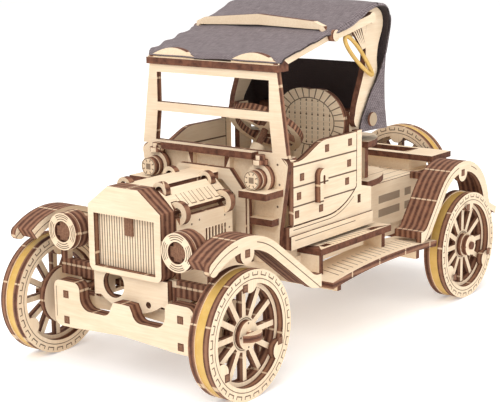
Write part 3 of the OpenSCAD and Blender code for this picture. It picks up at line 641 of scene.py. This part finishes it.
def clothFinish(name, tones=((0.045, 0.033, 0.037), (0.125, 0.098, 0.104), (0.33, 0.275, 0.285))):
    f = Finish(name)
    uv = f.node("ShaderNodeUVMap", {"uv_map": "weave"})
    split = f.tree.nodes.new("ShaderNodeSeparateXYZ")
    f.tree.links.new(uv.socket, split.inputs[0])
    u, v = Wire(f, split.outputs[0]) * 1000, Wire(f, split.outputs[1]) * 1000
    warp = f.stroke(u % 0.8, 0.4, 0.1, 0.3)
    weft = f.stroke(v % 0.8, 0.4, 0.1, 0.3)
    over = ((u / 0.8 + v / 0.8) % 2.0) > 1.0
    thread = over * warp + (1 - over) * weft
    slub = f.noise(f.vector(u, v * 0.12, 0.0), 1.4, 4, 0.7)
    slubTwo = f.noise(f.vector(u * 0.12, v, 0.0), 1.4, 4, 0.7)
    mottled = slub * 0.5 + slubTwo * 0.5
    colour = f.ramp(f.clamp(thread * 0.45 + mottled * 1.5 - 0.45),
                    [(0.0, tones[0]), (0.5, tones[1]), (1.0, tones[2])])
    height = thread * 0.6 + mottled
    return f.surface(colour=colour, roughness=0.88, normal=f.bump(height, 0.5, 0.0004), sheen=0.12, gloss=0.15)


cloth = clothFinish("greyCanvas")
# the near-black lining is painted shade for the inside of the canopy and the gap at the cloth's edges
shadeLining = clothFinish("paintedShadeLining", ((0.026, 0.018, 0.018), (0.040, 0.028, 0.028), (0.065, 0.047, 0.047)))
canopy = {
    "thick": 0.0009,
    "rows": 64, "columns": 60,
    # length, height of the side edges, half width, crown, droop of the hem
    "roof": [(49.6, 130.0, 37.2, 0.0, 0.0), (52.0, 132.2, 37.8, 0.1, 0.0), (57.0, 133.6, 38.0, 0.3, 0.1),
             (66.0, 135.9, 38.3, 0.7, 0.2), (76.0, 138.5, 38.6, 0.9, 0.5), (83.2, 140.6, 39.0, 0.9, 1.0),
             (86.6, 141.6, 40.0, 0.9, 1.6), (92.0, 143.2, 41.0, 1.6, 2.4), (100.0, 145.4, 41.2, 2.3, 2.6),
             (108.0, 148.2, 41.3, 2.2, 2.2), (113.5, 150.5, 41.3, 1.7, 1.8), (119.0, 151.5, 41.2, 1.3, 1.5),
             (122.0, 151.6, 41.2, 1.2, 1.4)],
    # length and height of the back, length of the flap's front edge
    "back": [(121.0, 151.6, 121.0), (126.4, 151.0, 126.4), (131.0, 148.6, 130.6), (133.3, 144.5, 132.5),
             (133.8, 140.5, 132.6), (133.0, 134.0, 131.2), (132.2, 128.0, 129.8), (131.8, 122.0, 127.6),
             (131.7, 116.0, 124.2), (131.8, 110.0, 119.6), (132.2, 104.0, 115.6), (133.0, 99.0, 112.4),
             (133.9, 94.0, 110.6), (134.2, 91.8, 110.2)],
    # half width and the lowest and highest point of the opening in the back
    "window": (27.5, 122.6, 147.0),
}


def flowing(points, count):
    # a smooth line of evenly spaced points through the given ones
    lengths = [0.0]
    for a, b in zip(points, points[1:]):
        lengths.append(lengths[-1] + math.hypot(b[0] - a[0], b[1] - a[1]))
    line = []
    for i in range(count + 1):
        want = lengths[-1] * i / count
        k = max(j for j in range(len(lengths) - 1) if lengths[j] <= want + 1e-9)
        t = (want - lengths[k]) / (lengths[k + 1] - lengths[k])
        a, b, c, d = points[max(0, k - 1)], points[k], points[k + 1], points[min(len(points) - 1, k + 2)]
        line.append(tuple(q + 0.5 * t * (r - p + t * (2 * p - 5 * q + 4 * r - w + t * (3 * q - p - 3 * r + w)))
                          for p, q, r, w in zip(a, b, c, d)))
    return line, lengths[-1]


def sewSheet(name, line, length, shape, window=None):
    # a grid whose rows are laid one by one along the line, then given its thickness and a near-black lining, which
    # is painted shade on the underside and the rims
    rows, columns = canopy["rows"], canopy["columns"]
    bpy.ops.object.select_all(action="DESELECT")
    bpy.ops.mesh.primitive_grid_add(x_subdivisions=columns, y_subdivisions=rows, size=1)
    sheet = bpy.context.object
    sheet.name = name
    mesh = sheet.data
    mesh.name = name
    while len(mesh.uv_layers):
        mesh.uv_layers.remove(mesh.uv_layers[0])
    uv = mesh.uv_layers.new(name="weave")
    flat = {}
    for vertex in mesh.vertices:
        across, row = vertex.co.x * 2, round((vertex.co.y + 0.5) * rows)
        place, width = shape(across, row / rows, line[row])
        flat[vertex.index] = (width * mm, row / rows * length * mm)
        vertex.co = Vector(place) * mm
    for loop in mesh.loops:
        uv.data[loop.index].uv = flat[loop.vertex_index]
    if window:
        # the opening is cut out of the sheet along its threads
        bpy.ops.object.mode_set(mode="EDIT")
        bpy.ops.mesh.select_mode(type="FACE")
        bpy.ops.mesh.select_all(action="DESELECT")
        bpy.ops.object.mode_set(mode="OBJECT")
        for face in mesh.polygons:
            c = face.center / mm
            face.select = abs(c.x) < window[0] and window[1] < c.z < window[2] and c.y > 25
        bpy.ops.object.mode_set(mode="EDIT")
        bpy.ops.mesh.delete(type="FACE")
        bpy.ops.object.mode_set(mode="OBJECT")
    area = sum(p.area for p in mesh.polygons)
    half = max(abs(u) for u, v in flat.values())
    mesh.materials.append(cloth)
    mesh.materials.append(shadeLining)
    thick = sheet.modifiers.new("thick", "SOLIDIFY")
    thick.thickness = canopy["thick"]
    thick.offset = -1
    # the underside and the rims take the near-black lining, painted shade
    thick.material_offset = 1
    thick.material_offset_rim = 1
    bpy.ops.object.modifier_apply(modifier="thick")
    bpy.ops.object.shade_smooth_by_angle(angle=math.radians(50))
    return sheet, (2 * half, length * mm), area


def roofShape(across, t, point):
    y, z, half, crown, droop = point
    ends = 1 - abs(across) ** 2.2
    ripple = 0.16 * math.sin(across * 9 + t * 13) * ends + 0.10 * math.sin(t * 37 + across * 4)
    if 0.03 < t < 0.4:
        ripple -= 0.7 * math.sin((t - 0.03) / 0.37 * math.pi) * ends
    hem = max(0, abs(across) - 0.95) / 0.05
    wave = 0.35 * math.sin(t * 45 + across) * hem
    x = across * half + wave * (1 if across > 0 else -1)
    height = z + crown * ends + ripple - droop * hem ** 1.5 + wave
    return (x, y - axleToMiddle, height), across * half


def backShape(across, t, point):
    y, z, front = point
    side = 1 if across >= 0 else -1
    s = abs(across)
    half, turn = 41.2 - 1.6 * min(1, t * 1.6), 2.6
    flap = max(0.05, y - front)
    fold = 0.8 * math.sin(across * 8.5 + 0.5) * t + 0.35 * math.sin(across * 19 + t * 4) * t
    if s < 0.62:
        x, back = s / 0.62 * (half - turn), fold * (1 - (s / 0.62) ** 4)
    elif s < 0.74:
        a = (s - 0.62) / 0.12 * math.pi / 2
        reach = min(turn, flap)
        x, back = half - turn + turn * math.sin(a), -reach * (1 - math.cos(a))
    else:
        q = (s - 0.74) / 0.26
        reach = min(turn, flap)
        x, back = half - 1.1 * q * min(1, flap / 12), -reach - q * (flap - reach)
    crown = 1.3 * (1 - min(1, s / 0.7) ** 2.2) * max(0, 1 - t * 5)
    hem = 1.4 * max(0, (s - 0.74) / 0.26) * max(0, 1 - t * 4.5)
    lower = -1.2 * math.sin(s * 5) * max(0, t - 0.9) * 6
    return (side * x, y - axleToMiddle + back, z + crown - hem + lower), side * (x + max(0, -back))


roofLine, roofLength = flowing(canopy["roof"], canopy["rows"])
backLine, backLength = flowing(canopy["back"], canopy["rows"])
roof, roofFlat, roofArea = sewSheet("canopyRoof", roofLine, roofLength, roofShape)
back, backFlat, backArea = sewSheet("canopyBack", backLine, backLength, backShape, canopy["window"])
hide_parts("canopy_front_cloth", "canopy_mid_cloth")
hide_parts("canopy_back_cloth")
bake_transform(roof)
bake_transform(back)
min(roofArea, roofFlat[0] * roofFlat[1])
min(backArea, backFlat[0] * backFlat[1])
print("canopy sewn")


def finishPiece(obj, name, body, slotName, *materials):
    # places go into the mesh, so the piece sits at the origin like the sheets of the frame
    obj.name = name
    obj.data.name = name
    bpy.ops.object.select_all(action="DESELECT")
    bpy.context.view_layer.objects.active = obj
    obj.select_set(True)
    bpy.ops.object.transform_apply(location=True, rotation=True, scale=True)
    for material in materials:
        obj.data.materials.append(material)
    if body:
        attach(obj, body)
    return obj


def bevelledBlock(size, place, bevel):
    bpy.ops.object.select_all(action="DESELECT")
    bpy.ops.mesh.primitive_cube_add(size=1, location=[v * mm for v in place])
    obj = bpy.context.object
    obj.scale = [v * mm for v in size]
    bpy.ops.object.transform_apply(location=False, rotation=False, scale=True)
    bpy.ops.object.mode_set(mode="EDIT")
    bpy.ops.mesh.select_all(action="SELECT")
    bpy.ops.mesh.bevel(offset=bevel * mm, segments=2, affect="EDGES")
    bpy.ops.object.mode_set(mode="OBJECT")
    return obj


pinSettings = {"wide": 3.1, "tall": 3.3, "proud": 0.12, "rim": 0.32}


def makePin():
    s = pinSettings
    bpy.ops.object.select_all(action="DESELECT")
    bpy.ops.mesh.primitive_cube_add(size=1)
    pin = bpy.context.object
    pin.scale = (2 * s["proud"] * mm, s["wide"] * mm, s["tall"] * mm)
    bpy.ops.object.transform_apply(location=False, rotation=False, scale=True)
    bpy.ops.object.mode_set(mode="EDIT")
    bpy.ops.mesh.select_all(action="DESELECT")
    bpy.ops.object.mode_set(mode="OBJECT")
    for face in pin.data.polygons:
        face.select = face.normal.x > 0.9
    bpy.ops.object.mode_set(mode="EDIT")
    bpy.ops.mesh.select_mode(type="FACE")
    bpy.ops.mesh.inset(thickness=s["rim"] * mm, depth=-0.08 * mm)
    bpy.ops.mesh.inset(thickness=0.12 * mm, depth=0.1 * mm)
    bpy.ops.object.mode_set(mode="OBJECT")
    pin.data.materials.append(charLine)
    pin.data.materials.append(pinWood)
    widest = (s["wide"] / 2 - s["rim"] - 0.02) * mm
    for face in pin.data.polygons:
        corners = [pin.data.vertices[v].co for v in face.vertices]
        inside = all(abs(corner.y) <= widest and corner.x > 0 for corner in corners)
        face.material_index = 1 if inside else 0
    return pin


masterPin = makePin()


def pinsOn(body, places):
    # each place: point on the sheet, the way it faces and the turn about that way
    made = []
    for place, facing, turn in places:
        copy = masterPin.copy()
        copy.data = masterPin.data.copy()
        bpy.context.scene.collection.objects.link(copy)
        aim = Vector(facing).to_track_quat("X", "Z").to_matrix().to_4x4()
        spin = Matrix.Rotation(math.radians(turn), 4, "X")
        copy.data.transform(Matrix.Translation(Vector(place) * mm) @ aim @ spin)
        made.append(copy)
    bpy.ops.object.select_all(action="DESELECT")
    for obj in made:
        obj.select_set(True)
    bpy.context.view_layer.objects.active = made[0]
    if len(made) > 1:
        bpy.ops.object.join()
    pins = bpy.context.view_layer.objects.active
    pins.name = "pins." + body
    pins.data.name = pins.name
    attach(pins, body)
    return pins


doorPins = [(80.9, 89.6), (99.6, 89.7), (98.9, 80.1), (97.3, 71.9),
            (61.5, 79.6), (59.2, 71.5), (76.2, 63.1), (57.6, 63.6)]
doorFace = 40
# pins in the lobes of a wheel ring: their angles and their distance from the hub
lobePins = {"turns": (100, -20, -140), "radius": 20.6}


def lobePlace(face, hub, turn):
    angle, radius = math.radians(turn), lobePins["radius"]
    return (face, hub.y + radius * math.cos(angle), hub.z + radius * math.sin(angle))


for side in ("left", "right"):
    out = 1 if side == "left" else -1
    facing = (out, 0, 0)
    pinsOn("door_" + side, [((doorFace * out, y - axleToMiddle, z), facing, 0) for y, z in doorPins])
    tyre = middle("tyre_front_" + side) / mm
    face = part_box("wheel_front_" + side)[1 if out > 0 else 0].x / mm
    pinsOn("front_wheel_" + side, [(lobePlace(face, tyre, turn), facing, 0) for turn in lobePins["turns"]])
rearHub = middle("tyres_rear") / mm
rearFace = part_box("wheels_rear")[1].x / mm
pinsOn("rear_wheels", [(lobePlace(rearFace * out, rearHub, turn), (out, 0, 0), 0)
                       for turn in lobePins["turns"] for out in (1, -1)])
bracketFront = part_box("front_bracket")[0].y / mm
fixedPins = [((32.4 * out, bracketFront, z), (0, -1, 0), 0) for out in (1, -1) for z in (32.1, 20.6)]
for side, out in (("left", 1), ("right", -1)):
    for node, at in (("fender_front_", (2, 60)), ("fender_rear_", (179.6, 64.4))):
        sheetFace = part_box(node + side)[1 if out > 0 else 0].x / mm
        fixedPins.append(((sheetFace, at[0] - axleToMiddle, at[1]), (out, 0, 0), 0))
pinsOn("chassis", fixedPins)
bpy.data.objects.remove(masterPin)
print("pins set")

# tension bands: two loops of amber rubber between the links and the bow
bandSettings = {"top": (96.5, 137.6), "bottom": (119.5, 118.6), "radius": 0.95, "bulge": 3.0, "x": 39.2}


def rubberLoop(name, x, s):
    top, bottom = (Vector((s[end][0] - axleToMiddle, s[end][1])) for end in ("top", "bottom"))
    along = (bottom - top).normalized()
    beside = Vector((-along.y, along.x))
    length = (bottom - top).length
    points = []
    for i in range(36):
        a = 2 * math.pi * i / 36
        reach = (1 - math.cos(a)) / 2
        spread = s["bulge"] * math.sin(a) * (1.15 - 0.55 * reach)
        points.append(top + along * (reach * length) + beside * -spread)
    curve = bpy.data.curves.new(name, "CURVE")
    curve.dimensions = "3D"
    curve.bevel_depth = s["radius"] * mm
    curve.bevel_resolution = 3
    line = curve.splines.new("POLY")
    line.points.add(len(points) - 1)
    line.use_cyclic_u = True
    for point, place in zip(line.points, points):
        point.co = (x * mm, place.x * mm, place.y * mm, 1)
    loop = bpy.data.objects.new(name, curve)
    bpy.context.scene.collection.objects.link(loop)
    bpy.ops.object.select_all(action="DESELECT")
    loop.select_set(True)
    bpy.context.view_layer.objects.active = loop
    bpy.ops.object.convert(target="MESH")
    loop = bpy.context.object
    loop.name = name
    loop.data.materials.clear()
    loop.data.materials.append(rubber)
    bpy.ops.object.shade_smooth()
    return loop


for side, out in (("Left", 1), ("Right", -1)):
    loop = rubberLoop("canopyBand" + side, bandSettings["x"] * out, bandSettings)
    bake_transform(loop)
    if out > 0:
        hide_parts("canopy_bands")
print("bands stretched")

# comb of thin slats beside each link, in the plane of the bow's plate
slatSettings = {"top": ((106.0, 140.0), (113.4, 141.0)), "bottom": ((114.6, 130.6), (117.6, 131.2)),
                "count": 5, "section": (1.2, 0.95), "x": 36.6}
slatFace = birchFace("slatBirch", "z")
for side, out in (("Left", 1), ("Right", -1)):
    slats = []
    for i in range(slatSettings["count"]):
        t = i / (slatSettings["count"] - 1)
        ends = ([Vector((*point, 0)) for point in slatSettings[k]] for k in ("top", "bottom"))
        a, b = (first.lerp(last, t) for first, last in ends)
        slat = bevelledBlock((*slatSettings["section"], (b - a).length), (0, 0, 0), 0.12)
        lean = math.atan2(b.x - a.x, a.y - b.y)
        centre = (a + b) / 2
        place = Vector((slatSettings["x"] * out, centre.x - axleToMiddle, centre.y)) * mm
        slat.data.transform(Matrix.Translation(place) @ Matrix.Rotation(lean, 4, "X"))
        slats.append(slat)
    bpy.ops.object.select_all(action="DESELECT")
    for slat in slats:
        slat.select_set(True)
    bpy.context.view_layer.objects.active = slats[0]
    bpy.ops.object.join()
    comb = finishPiece(bpy.context.object, "comb" + side, "links", "birch_ply", slatFace, edges["auto"])
    for face in comb.data.polygons:
        face.material_index = 0 if abs(face.normal.x) > 0.7 else 1

# round studs on the side flaps and the bar that keeps the back cloth wide
studSettings = {"place": (117.0, 98.2), "radius": 3.3, "thick": 1.3, "x": 41.0}
studFace = birchFace("studBirch", "z", None, 0.5)
for side, out in (("Left", 1), ("Right", -1)):
    bpy.ops.object.select_all(action="DESELECT")
    s = studSettings
    place = (s["x"] * out * mm, (s["place"][0] - axleToMiddle) * mm, s["place"][1] * mm)
    bpy.ops.mesh.primitive_cylinder_add(vertices=40, radius=s["radius"] * mm, depth=s["thick"] * mm,
                                        rotation=(0, math.pi / 2, 0), location=place)
    bpy.ops.object.mode_set(mode="EDIT")
    bpy.ops.mesh.select_all(action="SELECT")
    bpy.ops.mesh.bevel(offset=0.25 * mm, segments=2, affect="EDGES")
    bpy.ops.object.mode_set(mode="OBJECT")
    stud = finishPiece(bpy.context.object, "flapStud" + side, "chassis", "birch_ply", studFace, edges["auto"])
    for face in stud.data.polygons:
        face.material_index = 0 if abs(face.normal.x) > 0.9 else 1
backSettings = {"height": 98.6, "bar": (66, 3, 3), "barAt": 129.3,
                "peg": (3, 10, 3.6), "pegAt": 134.6, "pegX": 32.2}
bar = bevelledBlock(backSettings["bar"], (0, backSettings["barAt"] - axleToMiddle, backSettings["height"]), 0.25)
bar = finishPiece(bar, "backBar", "chassis", "scorched_ply", edges["auto"])
for side, out in (("Left", 1), ("Right", -1)):
    place = (backSettings["pegX"] * out, backSettings["pegAt"] - axleToMiddle, backSettings["height"])
    peg = bevelledBlock(backSettings["peg"], place, 0.25)
    finishPiece(peg, "backPeg" + side, "chassis", "scorched_ply", edges["auto"])
print("canopy trimmed")

floorSettings = {"size": 6.0, "colour": (0.93, 0.925, 0.92), "glow": 0.30}
bpy.ops.object.select_all(action="DESELECT")
bpy.ops.mesh.primitive_plane_add(size=floorSettings["size"], location=(0, 0, 0))
ground = bpy.context.object
ground.name = "studioFloor"
paper = Finish("palePaper")
px, py, pz = paper.where()
dull = 0.75 + paper.noise(paper.vector(px, py, pz), 0.01, 2) * 0.1
paper.surface(colour=floorSettings["colour"], roughness=dull)
paper.shader.inputs["Emission Color"].default_value = (1, 1, 1, 1)
paper.shader.inputs["Emission Strength"].default_value = floorSettings["glow"]
ground.data.materials.append(paper.material)
